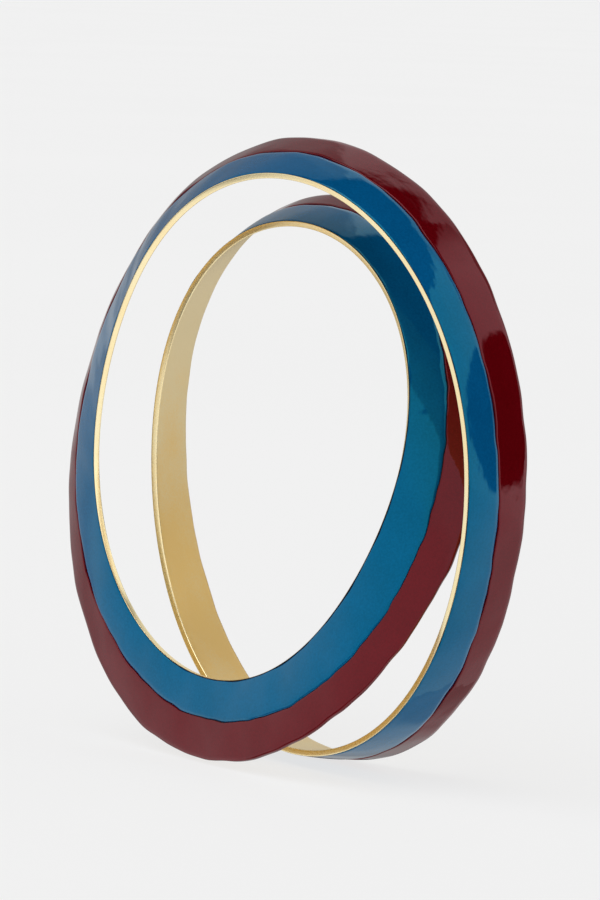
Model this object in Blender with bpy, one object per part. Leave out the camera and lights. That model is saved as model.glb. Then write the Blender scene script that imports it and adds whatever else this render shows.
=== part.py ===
"""Double-loop bangle bracelet.

One gilt band goes round the wrist twice and joins itself, so that its two turns read as two loops that
cross. The band rolls as it goes: flat against the wrist on one turn, leaning right over to face forwards on
the other. Its outer side is a shallow tray that holds two strips of enamel: blue beside the front rim, and
burgundy behind, which runs out to the tray's open rear edge.

The wrist passes along Y, the front rims face -Y, and the origin is the centre of the bangle's bounding box.
"""

import math

import bmesh
import bpy
from mathutils import Vector

MM = 0.001

# A "swing" is how a size changes along the band: its mean, then the cosine and sine amplitudes of its first,
# second, third... waves. The first wave takes the whole double turn (720 degrees), the second one turn.
RADIUS = (34.0, (1.1, -4.3), (0.0, 0.0), (-0.2, 1.3), (-1.6, 1.4), (0.6, 1.1))  # from the wrist axis, mm
BACK = (0.0, (-7.7, -0.3), (0.0, 0.0), (1.7, 0.3), (0.4, 0.6))  # towards +Y, mm
LEAN = (37.0, (28.0, 26.0), (11.0, 15.0), (-8.0, 2.0), (-2.0, -4.0))  # of the outer side towards -Y, degrees
WIDTH = (10.3, (0.3, 0.0))  # of the band, rim to rim, mm
COLOUR_LINE = (-0.7, (-0.3, 0.1), (-0.3, 0.1), (-0.5, 0.3), (0.2, 0.6), (-0.3, 0.1))  # forward of middle, mm

# Heights of the outer side over the satin inner face, mm.
RIM_HEIGHT = 0.8
REAR_HEIGHT = 0.8
RIDGE_HEIGHT = (1.0, (0.15, 0.0))  # at the colour line, where the two slopes meet

LIP = 0.1  # width of the metal left bare along the front of the outer side, mm
ENAMEL_DEPTH = 0.4  # of the tray, mm
FIT = 0.05  # left between the enamel and its tray, and between the two colours, mm
EDGE_ROUND = 0.15  # of the band's long edges, mm
# Width and depth of the enamel's rounded edges, mm.
FRONT_ROLL = (0.3, 0.07)  # beside the front rim
REAR_ROLL = (0.7, 0.2)  # at the rear

STATIONS = 128  # sections along the double turn
DOUBLE_TURN = 4 * math.pi
START = math.pi  # the first station is at -X


def swing(value, turn):
    """A size of the band at this turn (radians, 0 to DOUBLE_TURN)."""
    mean, *waves = value
    return mean + sum(
        cosine * math.cos(n * turn / 2) + sine * math.sin(n * turn / 2)
        for n, (cosine, sine) in enumerate(waves, start=1)
    )


class Station:
    """The band's section at one turn: where it is, which way it faces, and its sizes (mm)."""

    def __init__(self, turn):
        self.width = swing(WIDTH, turn)
        self.colour_line = swing(COLOUR_LINE, turn)
        self.ridge = swing(RIDGE_HEIGHT, turn)
        self.centre = self.centre_line(turn)
        step = 0.01
        along = self.centre_line(turn + step) - self.centre_line(turn - step)
        level = Vector((along.z, 0, -along.x)).normalized()  # square to the band, seen along the wrist
        if level.dot(Vector((self.centre.x, 0, self.centre.z))) < 0:
            level.negate()
        lean = math.radians(swing(LEAN, turn))
        front = Vector((0, -1, 0))
        self.out = level * math.cos(lean) + front * math.sin(lean)
        self.across = front * math.cos(lean) - level * math.sin(lean)

    @staticmethod
    def centre_line(turn):
        angle = START + turn
        radius = swing(RADIUS, turn)
        return Vector((radius * math.cos(angle), swing(BACK, turn), radius * math.sin(angle)))

    def surface(self, across):
        """Height of the outer side at this place across: two slopes that meet at the colour line."""
        edge, height = (
            (self.width / 2, RIM_HEIGHT)
            if across > self.colour_line
            else (-self.width / 2, REAR_HEIGHT)
        )
        share = (across - self.colour_line) / (edge - self.colour_line)
        return self.ridge + (height - self.ridge) * share**1.5

    def point(self, across, height):
        return (self.centre + self.across * across + self.out * height) * MM


def band_section(station):
    """Inner face, front rim, and tray, open at the rear, as (across, height), counter-clockwise."""
    half = station.width / 2
    front_wall = half - LIP
    return [
        (EDGE_ROUND - half, 0),
        (half - EDGE_ROUND, 0),
        (half, EDGE_ROUND),
        (half, RIM_HEIGHT - EDGE_ROUND / 2),
        (half - EDGE_ROUND / 2, RIM_HEIGHT),
        (front_wall, station.surface(front_wall)),
        (front_wall, station.surface(front_wall) - ENAMEL_DEPTH),
        (station.colour_line, station.ridge - ENAMEL_DEPTH),
        (-half, REAR_HEIGHT - ENAMEL_DEPTH),
        (-half, EDGE_ROUND),
    ]


def enamel_section(station, edge, line, roll):
    """One strip of enamel between its edge of the tray and the colour line, level with the outer side. It
    rolls off by this width and depth at the edge."""
    roll_width, roll_depth = roll
    shoulder = edge + math.copysign(roll_width, line - edge)
    middle = (edge + line) / 2
    floor = FIT - ENAMEL_DEPTH
    corners = [
        (edge, station.surface(edge) - roll_depth),
        (shoulder, station.surface(shoulder)),
        (middle, station.surface(middle)),
        (line, station.surface(line)),
        (line, station.surface(line) + floor),
        (edge, station.surface(edge) + floor),
    ]
    return corners if edge > line else corners[::-1]


def blue_section(station):
    edge = station.width / 2 - LIP - FIT
    return enamel_section(station, edge, station.colour_line + FIT / 2, FRONT_ROLL)


def burgundy_section(station):
    return enamel_section(station, -station.width / 2, station.colour_line - FIT / 2, REAR_ROLL)


def loft(name, section, centre, material, collection):
    """A closed body through the same section at every station. The section changes and rolls all the way
    round, which no curve bevel does, so its faces are made here. They are triangles split the same way on
    every body, so that the enamel bends as its tray does."""
    mesh = bmesh.new()
    rings = []
    for station in stations():
        corners = section(station)
        rings.append([(corner, mesh.verts.new(station.point(*corner) - centre)) for corner in corners])
    for ring, following in zip(rings, rings[1:] + rings[:1]):
        for i, (corner, here) in enumerate(ring):
            j = (i + 1) % len(ring)
            next_corner, beside = ring[j]
            ahead, ahead_beside = following[i][1], following[j][1]
            if corner > next_corner:
                mesh.faces.new((here, beside, ahead_beside))
                mesh.faces.new((here, ahead_beside, ahead))
            else:
                mesh.faces.new((here, beside, ahead))
                mesh.faces.new((beside, ahead_beside, ahead))
    bmesh.ops.recalc_face_normals(mesh, faces=mesh.faces)
    data = bpy.data.meshes.new(name)
    mesh.to_mesh(data)
    mesh.free()
    data.materials.append(material)
    data.shade_smooth()
    data.set_sharp_from_angle(angle=math.radians(35))
    body = bpy.data.objects.new(name, data)
    collection.objects.link(body)
    return body


def stations():
    return [Station(DOUBLE_TURN * i / STATIONS) for i in range(STATIONS)]


def box_centre():
    """Centre of the box round all three pieces."""
    corners = [
        station.point(*corner)
        for station in stations()
        for section in (band_section, blue_section, burgundy_section)
        for corner in section(station)
    ]
    low = Vector([min(c[axis] for c in corners) for axis in range(3)])
    high = Vector([max(c[axis] for c in corners) for axis in range(3)])
    return (low + high) / 2


def material(name, colour, roughness, metallic):
    made = bpy.data.materials.new(name)
    made.use_nodes = True
    shader = made.node_tree.nodes["Principled BSDF"]
    shader.inputs["Base Color"].default_value = (*colour, 1)
    shader.inputs["Roughness"].default_value = roughness
    shader.inputs["Metallic"].default_value = metallic
    made.diffuse_color = (*colour, 1)
    return made


def main():
    for old in list(bpy.data.objects):
        bpy.data.objects.remove(old, do_unlink=True)
    bangle = bpy.data.collections.new("double_loop_bangle")
    bpy.context.scene.collection.children.link(bangle)

    centre = box_centre()
    gilt = material("gilt_metal", (0.80, 0.58, 0.26), 0.35, 1.0)
    blue = material("blue_enamel", (0.01, 0.14, 0.29), 0.08, 0.0)
    burgundy = material("burgundy_enamel", (0.13, 0.015, 0.02), 0.08, 0.0)
    loft("metal_band", band_section, centre, gilt, bangle)
    loft("enamel_blue", blue_section, centre, blue, bangle)
    loft("enamel_burgundy", burgundy_section, centre, burgundy, bangle)


main()
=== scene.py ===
import math

import bpy
import numpy as np
from mathutils import Matrix, Vector


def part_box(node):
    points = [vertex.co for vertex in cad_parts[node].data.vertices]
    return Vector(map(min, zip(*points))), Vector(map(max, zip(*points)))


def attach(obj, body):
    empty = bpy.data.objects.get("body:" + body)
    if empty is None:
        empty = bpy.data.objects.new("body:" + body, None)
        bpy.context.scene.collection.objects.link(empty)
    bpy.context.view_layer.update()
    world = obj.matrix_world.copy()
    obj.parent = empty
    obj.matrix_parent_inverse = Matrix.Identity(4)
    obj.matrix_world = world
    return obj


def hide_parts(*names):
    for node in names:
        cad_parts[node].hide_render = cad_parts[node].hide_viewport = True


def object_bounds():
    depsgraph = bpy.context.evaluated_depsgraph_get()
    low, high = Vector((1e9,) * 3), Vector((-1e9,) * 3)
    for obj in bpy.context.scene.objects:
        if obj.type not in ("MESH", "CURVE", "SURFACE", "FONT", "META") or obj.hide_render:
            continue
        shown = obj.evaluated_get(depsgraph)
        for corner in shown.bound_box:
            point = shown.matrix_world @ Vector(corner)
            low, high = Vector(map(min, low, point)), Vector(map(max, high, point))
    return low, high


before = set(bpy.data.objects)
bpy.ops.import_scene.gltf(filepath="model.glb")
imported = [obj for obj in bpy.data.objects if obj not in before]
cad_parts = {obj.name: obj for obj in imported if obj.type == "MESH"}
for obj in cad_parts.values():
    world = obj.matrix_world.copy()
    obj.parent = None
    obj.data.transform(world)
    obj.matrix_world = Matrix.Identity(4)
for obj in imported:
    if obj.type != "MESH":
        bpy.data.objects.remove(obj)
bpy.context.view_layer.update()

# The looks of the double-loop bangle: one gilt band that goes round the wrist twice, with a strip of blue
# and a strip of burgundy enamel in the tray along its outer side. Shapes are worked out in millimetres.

MM = 0.001

# The band as the CAD part has it. A "swing" is how a size changes along the band: its mean, then the cosine
# and sine amplitudes of its first, second, third... waves, the first of which takes the whole double turn.
RADIUS = (34.0, (1.1, -4.3), (0.0, 0.0), (-0.2, 1.3), (-1.6, 1.4), (0.6, 1.1))  # from the wrist axis, mm
BACK = (0.0, (-7.7, -0.3), (0.0, 0.0), (1.7, 0.3), (0.4, 0.6))  # towards +Y, mm
LEAN = (37.0, (28.0, 26.0), (11.0, 15.0), (-8.0, 2.0), (-2.0, -4.0))  # of the outer side to -Y, degrees
WIDTH = (10.3, (0.3, 0.0))  # of the band, edge to edge, mm
# Where the two colours meet, forward of the middle of the band, mm.
COLOUR_LINE = (-0.7, (-0.3, 0.1), (-0.3, 0.1), (-0.5, 0.3), (0.2, 0.6), (-0.3, 0.1))
RIM_HEIGHT = 0.8  # of both edges over the inner face, mm
RIDGE_HEIGHT = (1.0, (0.15, 0.0))  # at the colour line, mm
SLOPE_POWER = 1.5  # how the outer side falls from the ridge: 1 would be straight
LIP = 0.1  # width of the metal left bare in front of the blue, mm
ENAMEL_DEPTH = 0.4  # of the tray, mm
DOUBLE_TURN = 4 * math.pi
START = math.pi  # the first station is at -X

# Finer shapes of the real surface, mm.
INNER_EDGE = 0.13  # radius of the rim's edge beside the wrist
OUTER_EDGE = 0.09  # radius of the rim's edge beside the enamel
RIM_CROWN = 0.005  # how far the middle of the rim stands out
REAR_EDGE = 0.06  # radius of the metal's two rear edges
LAP = 0.10  # thickness of the burgundy where it laps over the rear edge
LAP_HEIGHT = 0.06  # of the lap's end over the inner face
LAP_GAP = 0.02  # between the lap and the metal
FLOOR_GAP = 0.05  # between the enamel and the floor of its tray
# The grooves' darkness is partly their depth and partly the painted shade of the tray at their floors.
FRONT_GAP = 0.07  # dark groove between the lip and the blue
LINE_GAP = 0.07  # dark groove between the two colours
BLUE_STEP = 0.05  # how far the blue stands proud at the colour line
BLUE_CROWN = 0.10  # how far the middle of the strip bulges
BURGUNDY_CROWN = 0.02
BLUE_SHOULDER = (0.80, 0.26)  # width and depth of its rounded edge there
BURGUNDY_SHOULDER = (0.14, 0.10)
REAR_SHOULDER = (0.90, 0.20)  # of the burgundy along the rear
FRONT_SHOULDER = (0.30, 0.07)  # of the blue beside the front rim
# Waves left by hand filling: (waves in the double turn, height, start, turn of the wave per mm across).
ENAMEL_WAVES = (
    (23, 0.050, 0.4, 0.15), (37, 0.030, 2.1, -0.25), (53, 0.018, 4.0, 0.35), (79, 0.008, 1.3, -0.5),
    (127, 0.003, 5.2, 0.9),
)
FRONT_WAVES = ((29, 0.03, 0.6, 0), (67, 0.02, 2.9, 0), (113, 0.012, 5.5, 0))
LINE_WAVES = ((37, 0.06, 1.0, 0), (61, 0.045, 3.1, 0), (97, 0.035, 0.2, 0), (151, 0.02, 5.0, 0))
REAR_WAVES = ((19, 0.07, 2.0, 0), (43, 0.06, 0.7, 0), (71, 0.035, 4.4, 0), (109, 0.02, 1.9, 0))

STATIONS = 1200  # sections along the double turn
ARC_POINTS = 5  # along each rounded edge
INNER_POINTS = 8  # across the inner face
RIM_POINTS = 5  # up the front rim
STRIP_POINTS = 26  # across the outer side of each strip
SHARP_ANGLE = 40  # edges turn sharp above this, degrees

# The tray's material is near black: painted shade for the grooves along the enamel and the lip's top edge.
POLISHED, SATIN, SHADED_TRAY = range(3)  # the band's materials

# Colours, linear RGB, between which each material varies.
POLISHED_COLOURS = ((1.0, 0.82, 0.46), (1.0, 0.87, 0.54))
SATIN_COLOURS = ((0.81, 0.66, 0.36), (0.84, 0.57, 0.19))
# The tray's near-black colours are painted shade: the dark lines in the grooves and along the lip.
TRAY_SHADE_COLOURS = ((0.020, 0.012, 0.005), (0.04, 0.024, 0.010))
BLUE_COLOURS = ((0.0007, 0.066, 0.180), (0.0013, 0.085, 0.227))
BURGUNDY_COLOURS = ((0.080, 0.0005, 0.0020), (0.104, 0.0010, 0.0034))
FLOOR_COLOURS = ((0.16, 0.16, 0.16), (0.17, 0.17, 0.17))
BLUE_GLOSS = (0.06, 0.95, 1.0)  # tint of its reflections
BURGUNDY_GLOSS = (1.0, 0.37, 0.43)
ENAMEL_IOR = 1.6
NOISE_RANGE = (0.3, 0.7)  # where most values of a noise lie

# The satin inner face is warmer in places along the band.
WARMTH_WAVES = 5  # in the double turn
WARMTH_START = 16.33  # of the first warm place, radians

BACKDROP = 0.87  # brightness that the camera sees past the floor
FLOOR_RADIUS = 60  # m
FLOOR_SIDES = 96
FLOOR_DROP = 0.0002  # below the bangle, m
FLOOR_GLOW = 0.735
KEY_DIRECTION = (0, 60)  # azimuth and elevation that the key light comes from, degrees
KEY_ENERGY = 1.6
KEY_SPREAD = 60  # degrees
CAMERA_DIRECTION = (47.63, 5.81)  # azimuth and elevation that the camera looks from, degrees
CAMERA_AIM = (1.37, 1.38, 0.33)  # what it looks at, mm
CAMERA_DISTANCE = 0.620  # from there, m
CAMERA_ROLL = 1.96  # degrees
CAMERA_LENS = 190.8  # mm
CAMERA_SENSOR = 36.0  # mm


# ---------------------------------------------------------------- the band's path and sections


def swing(value, turn):
    """A size of the band at these turns (radians, 0 to DOUBLE_TURN)."""
    mean, *waves = value
    return mean + sum(
        cosine * np.cos(n * turn / 2) + sine * np.sin(n * turn / 2)
        for n, (cosine, sine) in enumerate(waves, start=1)
    )


def ripple(waves, across=0.0, shift=0.0):
    """Small waves along the band, at this place across it. They close up after the double turn."""
    return sum(
        height * np.sin(n * (TURN / 2 + shift) + start + slant * across)
        for n, height, start, slant in waves
    )


def centre_line(turn):
    angle = START + turn
    radius = swing(RADIUS, turn)
    return np.stack([radius * np.cos(angle), swing(BACK, turn), radius * np.sin(angle)], axis=-1)


TURN = DOUBLE_TURN * np.arange(STATIONS) / STATIONS
HALF = swing(WIDTH, TURN) / 2
RIDGE = swing(RIDGE_HEIGHT, TURN)
LINE = swing(COLOUR_LINE, TURN) + ripple(LINE_WAVES)
REAR = ripple(REAR_WAVES) - HALF  # the rear edge
CENTRE = centre_line(TURN)


def section_axes():
    """Unit vectors at every station: away from the inner face, and across the band to the front rim."""
    step = 0.01
    along = centre_line(TURN + step) - centre_line(TURN - step)
    level = np.stack([along[:, 2], 0 * TURN, -along[:, 0]], axis=-1)
    level /= np.linalg.norm(level, axis=1, keepdims=True)
    level *= np.sign(level[:, :1] * CENTRE[:, :1] + level[:, 2:] * CENTRE[:, 2:])
    lean = np.radians(swing(LEAN, TURN))[:, None]
    front = np.array([0.0, -1.0, 0.0])
    return level * np.cos(lean) + front * np.sin(lean), front * np.cos(lean) - level * np.sin(lean)


OUT, ACROSS = section_axes()
LENGTH = np.concatenate([[0], np.cumsum(np.linalg.norm(np.roll(CENTRE, -1, 0) - CENTRE, axis=1))])


def surface(across):
    """Height of the outer side at these places across: two slopes that meet at the colour line."""
    edge = np.where(across > LINE, HALF, REAR)
    share = np.clip((across - LINE) / (edge - LINE), 0, 1)
    return RIDGE + (RIM_HEIGHT - RIDGE) * share**SLOPE_POWER


def rounded(distance, shoulder):
    """How far a rounded edge lies below the face, at this distance from the edge."""
    width, depth = shoulder
    share = np.clip(1 - distance / width, 0, 1)
    return depth * (1 - np.sqrt(1 - share**2))


def arc(across, height, radius, start):
    """A quarter circle about this centre, from the angle start (degrees), counter-clockwise."""
    angles = [math.radians(start + 90 * i / (ARC_POINTS - 1)) for i in range(ARC_POINTS)]
    return [(across + radius * math.cos(a), height + radius * math.sin(a)) for a in angles]


def band_section():
    """Inner face, front rim, tray and rear edge as (across, height), counter-clockwise, one value per
    station each. The second list gives the material between each corner and the next."""
    top = RIM_HEIGHT
    front_wall = HALF - LIP
    inner_start = REAR + LAP + LAP_GAP + REAR_EDGE
    inner_end = HALF - INNER_EDGE
    inner = [(inner_start + (inner_end - inner_start) * i / INNER_POINTS, 0) for i in range(INNER_POINTS)]
    rim = arc(inner_end, INNER_EDGE, INNER_EDGE, -90)
    for i in range(1, RIM_POINTS):
        share = i / RIM_POINTS
        height = INNER_EDGE + share * (top - INNER_EDGE - OUTER_EDGE)
        rim.append((HALF + RIM_CROWN * math.sin(math.pi * share), height))
    edge = arc(HALF - OUTER_EDGE, top - OUTER_EDGE, OUTER_EDGE, 0)
    # The tray's near-black painted shade starts on the upper part of the lip's rounded edge and draws a dark
    # line along the lip.
    tray = edge[2:] + [(front_wall, top), (front_wall, top - ENAMEL_DEPTH), (LINE, RIDGE - ENAMEL_DEPTH)]
    rear = arc(inner_start, top - ENAMEL_DEPTH - REAR_EDGE, REAR_EDGE, 90)
    rear += arc(inner_start, REAR_EDGE, REAR_EDGE, 180)[:-1]
    rim += edge[:2]
    corners = inner + rim + tray + rear
    materials = [SATIN] * len(inner) + [POLISHED] * len(rim) + [SHADED_TRAY] * len(tray) + [POLISHED] * len(rear)
    return corners, materials


def strip_section(wall, line, wall_shoulder, line_shoulder, step, crown, shift, lap=None):
    """One strip of enamel between its wall and the colour line, with its outer side first. A strip with a lap
    also runs down over the metal's edge, in a skin of that thickness."""
    shares = (1 - np.cos(np.linspace(0, math.pi, STRIP_POINTS))) / 2  # closer together at the edges
    corners = []
    for share in shares:
        across = wall + (line - wall) * share
        bulge = step * share**2 + 4 * crown * share * (1 - share)
        height = surface(across) + bulge + ripple(ENAMEL_WAVES, across, shift)
        height = height - rounded(abs(across - wall), wall_shoulder)
        height = height - rounded(abs(across - line), line_shoulder)
        corners.append((across, height))
    back = wall if lap is None else wall + lap
    for place in (line, back):
        corners.append((place, surface(place) - ENAMEL_DEPTH + FLOOR_GAP))
    if lap is not None:
        corners += [(back, LAP_HEIGHT), (wall, LAP_HEIGHT)]
    return corners if wall[0] > line[0] else corners[::-1]


# ---------------------------------------------------------------- meshes


def loft(name, corners, materials, material_of=None):
    """A closed body through the same section at every station, with a UV map in millimetres along and
    across the band."""
    each = np.ones((STATIONS, 1))
    rings = np.stack([
        CENTRE + ACROSS * np.reshape(across, (-1, 1)) * each + OUT * np.reshape(height, (-1, 1)) * each
        for across, height in corners
    ], axis=1)
    count = len(corners)
    girth = np.linalg.norm(np.roll(rings, -1, 1) - rings, axis=2).mean(0)
    around = np.concatenate([[0], np.cumsum(girth)])
    station, corner = np.divmod(np.arange(STATIONS * count), count)
    ahead, beside = (station + 1) % STATIONS, (corner + 1) % count
    quads = np.stack([
        station * count + corner, station * count + beside, ahead * count + beside, ahead * count + corner,
    ], axis=1)
    mesh = bpy.data.meshes.new(name)
    mesh.from_pydata((rings.reshape(-1, 3) * MM).tolist(), [], quads.tolist())
    uv = mesh.uv_layers.new(name="band_mm")
    start, end = LENGTH[station], LENGTH[station + 1]
    along_uv = np.stack([start, start, end, end], axis=1)
    around_uv = np.stack([around[corner], around[corner + 1], around[corner + 1], around[corner]], axis=1)
    uv.data.foreach_set("uv", np.stack([along_uv, around_uv], axis=2).astype(np.float32).ravel())
    for material in materials:
        mesh.materials.append(material)
    if material_of:
        mesh.polygons.foreach_set("material_index", np.tile(material_of, STATIONS).astype(np.int32))
    mesh.validate()
    mesh.shade_smooth()
    mesh.set_sharp_from_angle(angle=math.radians(SHARP_ANGLE))
    body = bpy.data.objects.new(name, mesh)
    bpy.context.scene.collection.objects.link(body)
    return body


def settle(pieces):
    """Moves the pieces together so that the band's box is centred where the CAD band's box is."""
    low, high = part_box("metal_band")
    points = np.array([v.co for v in pieces[0].data.vertices])
    shift = (low + high) / 2 - Vector((points.min(0) + points.max(0)) / 2)
    for piece in pieces:
        piece.data.transform(Matrix.Translation(shift))


# ---------------------------------------------------------------- materials


def new_material(name):
    material = bpy.data.materials.new(name)
    material.use_nodes = True
    return material, material.node_tree.nodes, material.node_tree.links


def noise(nodes, links, vector, scale, detail=3.0, roughness=0.5):
    node = nodes.new("ShaderNodeTexNoise")
    node.inputs["Scale"].default_value = scale
    node.inputs["Detail"].default_value = detail
    node.inputs["Roughness"].default_value = roughness
    links.new(vector, node.inputs["Vector"])
    return node.outputs["Fac"]


def spread(nodes, links, value, low, high):
    """Maps a noise value to the range low to high."""
    node = nodes.new("ShaderNodeMapRange")
    for name, number in zip(("From Min", "From Max", "To Min", "To Max"), (*NOISE_RANGE, low, high)):
        node.inputs[name].default_value = number
    links.new(value, node.inputs["Value"])
    return node.outputs["Result"]


def tint(nodes, links, value, colours, places=NOISE_RANGE):
    """Blends from the first colour to the second as the value goes from the first place to the second."""
    node = nodes.new("ShaderNodeValToRGB")
    for element, place, colour in zip(node.color_ramp.elements, places, colours):
        element.position, element.color = place, (*colour, 1)
    links.new(value, node.inputs["Fac"])
    return node.outputs["Color"]


def maths(nodes, links, operation, *values):
    """One step of arithmetic on sockets and numbers."""
    node = nodes.new("ShaderNodeMath")
    node.operation = operation
    for socket, value in zip(node.inputs, values):
        if isinstance(value, (int, float)):
            socket.default_value = value
        else:
            links.new(value, socket)
    return node.outputs["Value"]


def bump(nodes, links, heights, shader):
    """Chains bumps: (height socket, distance in mm) each, in order."""
    normal = None
    for height, distance in heights:
        node = nodes.new("ShaderNodeBump")
        node.inputs["Distance"].default_value = distance * MM
        links.new(height, node.inputs["Height"])
        if normal is not None:
            links.new(normal, node.inputs["Normal"])
        normal = node.outputs["Normal"]
    links.new(normal, shader.inputs["Normal"])


def band_uv(nodes, links, stretch=(1, 1, 1)):
    """Millimetres along and across the band, scaled."""
    uv = nodes.new("ShaderNodeUVMap")
    uv.uv_map = "band_mm"
    mapping = nodes.new("ShaderNodeMapping")
    mapping.inputs["Scale"].default_value = stretch
    links.new(uv.outputs["UV"], mapping.inputs["Vector"])
    return mapping.outputs["Vector"]


def polished_gilt():
    material, nodes, links = new_material("polished_gilt")
    shader = nodes["Principled BSDF"]
    place = nodes.new("ShaderNodeTexCoord").outputs["Object"]
    cloud = noise(nodes, links, place, 160)  # patches about 6 mm across
    scuff = noise(nodes, links, band_uv(nodes, links, (0.6, 9, 1)), 2.5, 4)  # fine marks along the rim
    links.new(tint(nodes, links, cloud, POLISHED_COLOURS), shader.inputs["Base Color"])
    links.new(spread(nodes, links, scuff, 0.20, 0.32), shader.inputs["Roughness"])
    shader.inputs["Metallic"].default_value = 1.0
    bump(nodes, links, [(scuff, 0.0015)], shader)
    return material


def satin_gilt():
    material, nodes, links = new_material("satin_gilt")
    shader = nodes["Principled BSDF"]
    place = nodes.new("ShaderNodeTexCoord").outputs["Object"]
    brushed = noise(nodes, links, band_uv(nodes, links, (0.35, 12, 1)), 2.0, 5, 0.6)  # marks along the band
    grain = noise(nodes, links, place, 4200, 2)  # about 0.2 mm across
    cloud = noise(nodes, links, place, 120, 3)  # patches about 8 mm across
    split = nodes.new("ShaderNodeSeparateXYZ")
    links.new(band_uv(nodes, links, (WARMTH_WAVES * math.tau / LENGTH[-1], 1, 1)), split.inputs["Vector"])
    wave = maths(nodes, links, "COSINE", maths(nodes, links, "SUBTRACT", split.outputs["X"], WARMTH_START))
    speckle = maths(nodes, links, "MULTIPLY_ADD", maths(nodes, links, "SUBTRACT", grain, 0.5), 0.8, cloud)
    warmth = maths(nodes, links, "MULTIPLY_ADD", wave, 0.4, speckle)
    links.new(tint(nodes, links, warmth, SATIN_COLOURS, (0.2, 0.85)), shader.inputs["Base Color"])
    links.new(spread(nodes, links, brushed, 0.36, 0.50), shader.inputs["Roughness"])
    shader.inputs["Metallic"].default_value = 1.0
    bump(nodes, links, [(brushed, 0.016), (grain, 0.012)], shader)
    return material


def painted_shade_tray():
    """The metal under the enamel, near black as painted shade, which shows only as a thin dark line along its
    edges.
    """
    material, nodes, links = new_material("painted_shade_tray")
    shader = nodes["Principled BSDF"]
    cloud = noise(nodes, links, nodes.new("ShaderNodeTexCoord").outputs["Object"], 900)
    links.new(tint(nodes, links, cloud, TRAY_SHADE_COLOURS), shader.inputs["Base Color"])
    links.new(spread(nodes, links, cloud, 0.5, 0.7), shader.inputs["Roughness"])
    return material


def enamel(name, colours, gloss):
    """Glossy opaque enamel: a little cloudy, with a faint orange-peel skin."""
    material, nodes, links = new_material(name)
    shader = nodes["Principled BSDF"]
    place = nodes.new("ShaderNodeTexCoord").outputs["Object"]
    cloud = noise(nodes, links, place, 140, 5, 0.6)  # patches about 7 mm across
    grain = noise(nodes, links, place, 3500, 2)  # about 0.3 mm across
    mottle = maths(nodes, links, "MULTIPLY_ADD", maths(nodes, links, "SUBTRACT", grain, 0.5), 1.3, cloud)
    peel = noise(nodes, links, place, 420, 2)
    swell = noise(nodes, links, band_uv(nodes, links, (1, 1.6, 1)), 0.35, 2)  # about 3 mm long
    links.new(tint(nodes, links, mottle, colours, (0.2, 0.8)), shader.inputs["Base Color"])
    links.new(spread(nodes, links, peel, 0.03, 0.055), shader.inputs["Roughness"])
    shader.inputs["IOR"].default_value = ENAMEL_IOR
    shader.inputs["Specular Tint"].default_value = (*gloss, 1)
    bump(nodes, links, [(swell, 0.035), (peel, 0.003)], shader)
    return material


def floor_material():
    material, nodes, links = new_material("pale_floor")
    shader = nodes["Principled BSDF"]
    place = nodes.new("ShaderNodeTexCoord").outputs["Object"]
    cloud = noise(nodes, links, place, 3)
    links.new(tint(nodes, links, cloud, FLOOR_COLOURS), shader.inputs["Base Color"])
    shader.inputs["Roughness"].default_value = 0.9
    shader.inputs["Specular IOR Level"].default_value = 0.0
    shader.inputs["Emission Color"].default_value = (1, 1, 1, 1)
    shader.inputs["Emission Strength"].default_value = FLOOR_GLOW
    return material


# ---------------------------------------------------------------- the bangle


def make_bangle():
    # The third material is the tray's near-black painted shade.
    metals = [polished_gilt(), satin_gilt(), painted_shade_tray()]
    blue = enamel("blue_enamel", BLUE_COLOURS, BLUE_GLOSS)
    burgundy = enamel("burgundy_enamel", BURGUNDY_COLOURS, BURGUNDY_GLOSS)

    band_corners, band_materials = band_section()
    band = loft("gilt_band", band_corners, metals, band_materials)
    front = HALF - LIP - FRONT_GAP + ripple(FRONT_WAVES)
    blue_corners = strip_section(
        front, LINE + LINE_GAP / 2, FRONT_SHOULDER, BLUE_SHOULDER, BLUE_STEP, BLUE_CROWN, shift=0.0,
    )
    blue_strip = loft("blue_enamel_strip", blue_corners, [blue])
    burgundy_corners = strip_section(
        REAR, LINE - LINE_GAP / 2, REAR_SHOULDER, BURGUNDY_SHOULDER, 0.0, BURGUNDY_CROWN,
        shift=0.9, lap=LAP,
    )
    burgundy_strip = loft("burgundy_enamel_strip", burgundy_corners, [burgundy])

    pieces = [band, blue_strip, burgundy_strip]
    settle(pieces)
    for piece, node, slot in zip(
        pieces,
        ("metal_band", "enamel_blue", "enamel_burgundy"),
        ("gilt_metal", "blue_enamel", "burgundy_enamel"),
    ):
        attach(piece, "root")
        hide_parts(node)


# ---------------------------------------------------------------- studio


def direction(azimuth, elevation):
    """Unit vector from the bangle. Azimuth 0 is in front of it, at -Y, and 90 at +X."""
    a, e = math.radians(azimuth), math.radians(elevation)
    return Vector((math.sin(a) * math.cos(e), -math.cos(a) * math.cos(e), math.sin(e)))


def facing(back, roll=0.0):
    """Rotation of a lamp or camera whose back points this way, turned by roll degrees."""
    return back.to_track_quat("Z", "Y").to_matrix().to_4x4() @ Matrix.Rotation(math.radians(roll), 4, "Z")


def make_floor():
    """A pale floor just under the bangle. It glows, so that it is even right out to its edge, and the
    bangle's gloss shows the studio in its place."""
    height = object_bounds()[0].z - FLOOR_DROP
    bpy.ops.mesh.primitive_circle_add(
        vertices=FLOOR_SIDES, radius=FLOOR_RADIUS, fill_type="NGON", location=(0, 0, height))
    floor = bpy.context.object
    floor.name = "floor"
    floor.data.materials.append(floor_material())
    floor.visible_glossy = False


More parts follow.
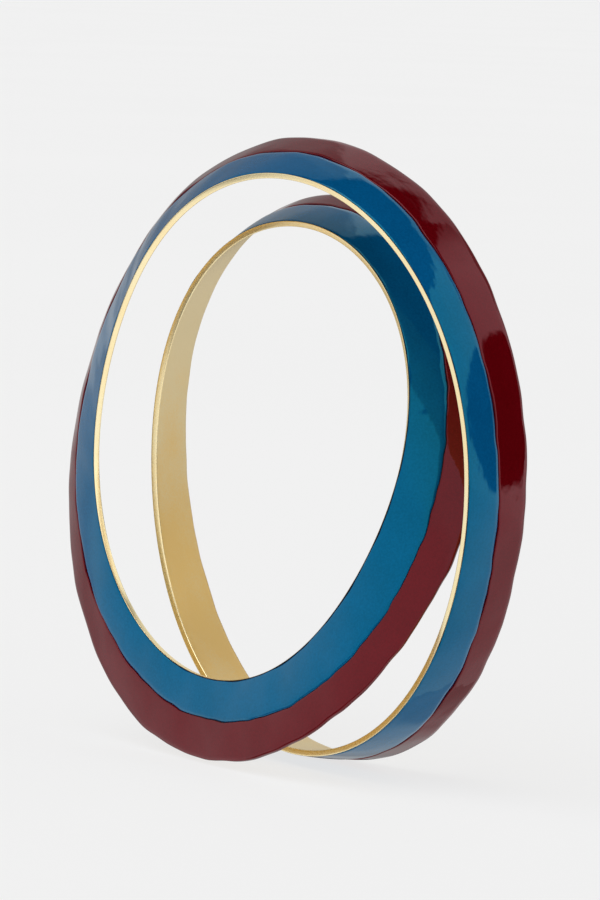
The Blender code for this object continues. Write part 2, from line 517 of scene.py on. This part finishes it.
class Studio:
    """World nodes that light the bangle from all round. Directions are in degrees: azimuth 0 is in front of
    the bangle, at -Y, 90 is at +X, and elevation is above the horizon."""

    def __init__(self, world):
        self.nodes, self.links = world.node_tree.nodes, world.node_tree.links
        split = self.nodes.new("ShaderNodeSeparateXYZ")
        self.way = self.nodes.new("ShaderNodeTexCoord").outputs["Generated"]
        self.links.new(self.way, split.inputs["Vector"])
        x, y, z = split.outputs
        self.azimuth = self.maths("DEGREES", self.maths("ARCTAN2", x, self.maths("MULTIPLY", y, -1)))
        self.elevation = self.maths("DEGREES", self.maths("ARCSINE", z))
        self.light = None

    def maths(self, operation, *values):
        return maths(self.nodes, self.links, operation, *values)

    def rise(self, value, edge, softness):
        """0 below the edge and 1 above it, with a soft step between."""
        node = self.nodes.new("ShaderNodeMapRange")
        node.interpolation_type = "SMOOTHSTEP"
        node.inputs["From Min"].default_value = edge - softness
        node.inputs["From Max"].default_value = edge + softness
        self.links.new(value, node.inputs["Value"])
        return node.outputs["Result"]

    def paint(self, where, level):
        """Lays an even light of this level over where (0 to 1)."""
        if self.light is None:
            self.light = level
            return
        change = self.maths("MULTIPLY", where, self.maths("SUBTRACT", level, self.light))
        self.light = self.maths("ADD", self.light, change)

    def panel(self, azimuths, elevations, softness, level):
        """A rectangle between two azimuths and two elevations."""
        where = 1.0
        for value, (low, high) in ((self.azimuth, azimuths), (self.elevation, elevations)):
            if low > -180:
                where = self.maths("MULTIPLY", where, self.rise(value, low, softness))
            if high < 180:
                above = self.rise(value, high, softness)
                where = self.maths("MULTIPLY", where, self.maths("SUBTRACT", 1.0, above))
        self.paint(where, level)

    def disc(self, azimuth, elevation, radius, softness, level):
        """A round patch about a direction."""
        dot = self.nodes.new("ShaderNodeVectorMath")
        dot.operation = "DOT_PRODUCT"
        self.links.new(self.way, dot.inputs[0])
        dot.inputs[1].default_value = direction(azimuth, elevation)
        away = self.maths("DEGREES", self.maths("ARCCOSINE", dot.outputs["Value"]))
        self.paint(self.maths("SUBTRACT", 1.0, self.rise(away, radius, softness)), level)


def make_world():
    """The studio all round. Each panel and disc covers what was painted before it."""
    world = bpy.data.worlds.new("studio")
    world.use_nodes = True
    studio = Studio(world)
    studio.paint(1.0, 0.88)  # pale walls
    studio.panel((30, 62), (2, 45), 8, 1.05)  # brighter wall at the front right
    studio.panel((62, 112), (-60, 45), 3, 1.3)  # tall window on the right
    studio.panel((112, 180), (-90, 90), 8, 1.12)  # bright wall behind, on the right
    studio.panel((-135, -75), (-18, 90), 10, 0.28)  # grey wall on the left
    studio.panel((-180, 180), (-90, -18), 6, 1.05)  # the table
    studio.panel((112, 180), (-90, -22), 6, 0.72)  # its duller part behind, on the right
    studio.panel((112, 148), (-42, -20), 6, 0.92)  # with a brighter patch
    studio.panel((-180, -120), (-90, -15), 8, 0.42)  # its shaded part behind, on the left
    studio.panel((-160, -125), (-60, -30), 6, 0.65)  # with a brighter patch
    studio.panel((-120, -75), (-90, -2), 8, 0.56)  # its part on the left
    studio.disc(-170, 60, 25, 8, 0.33)  # grey corner high up behind
    studio.disc(23, 76, 44, 1.2, 0.0)  # dark ceiling
    studio.panel((-50, 40), (-45, -26), 4, 0.12)  # dark front edge of the table
    # The pale wall behind, which lights the satin inner face.
    studio.panel((160, 180), (-40, 60), 2, 0.75)
    studio.panel((160, 180), (8, 60), 3, 0.71)  # duller above
    studio.panel((-180, -128), (2, 60), 3, 0.78)
    studio.panel((-180, -144), (-40, 2), 3, 0.75)
    studio.panel((-128, -118), (2, 60), 2, 0.37)  # grey strip at its left end
    studio.panel((152, 180), (26, 42), 1.5, 0.25)  # dark strip across it, on the right
    studio.disc(136, 3.5, 19, 1.2, 0.0)  # round black card behind, on the right
    studio.panel((-142, -130), (-16, 1), 2, 0.0)  # black card behind, on the left
    studio.panel((-130, -104), (-14, 1), 2, 0.6)  # pale card on the left
    seen = studio.nodes.new("ShaderNodeLightPath").outputs["Is Camera Ray"]
    studio.paint(seen, BACKDROP)
    studio.links.new(studio.light, studio.nodes["Background"].inputs["Strength"])
    studio.nodes["Background"].inputs["Color"].default_value = (1, 1, 1, 1)
    bpy.context.scene.world = world


def make_lights():
    sun = bpy.data.lights.new("key", "SUN")
    sun.energy, sun.angle = KEY_ENERGY, math.radians(KEY_SPREAD)
    key = bpy.data.objects.new("key", sun)
    key.matrix_world = facing(direction(*KEY_DIRECTION))
    bpy.context.scene.collection.objects.link(key)


def make_camera():
    """A long lens a little above the bangle, from its front right."""
    data = bpy.data.cameras.new("camera")
    data.sensor_width, data.lens = CAMERA_SENSOR, CAMERA_LENS
    camera = bpy.data.objects.new("camera", data)
    back = direction(*CAMERA_DIRECTION)
    place = Vector(CAMERA_AIM) * MM + back * CAMERA_DISTANCE
    camera.matrix_world = Matrix.Translation(place) @ facing(back, CAMERA_ROLL)
    bpy.context.scene.collection.objects.link(camera)
    bpy.context.scene.camera = camera


make_bangle()
make_floor()
make_world()
make_lights()
make_camera()
bpy.context.scene.view_settings.view_transform = "Standard"
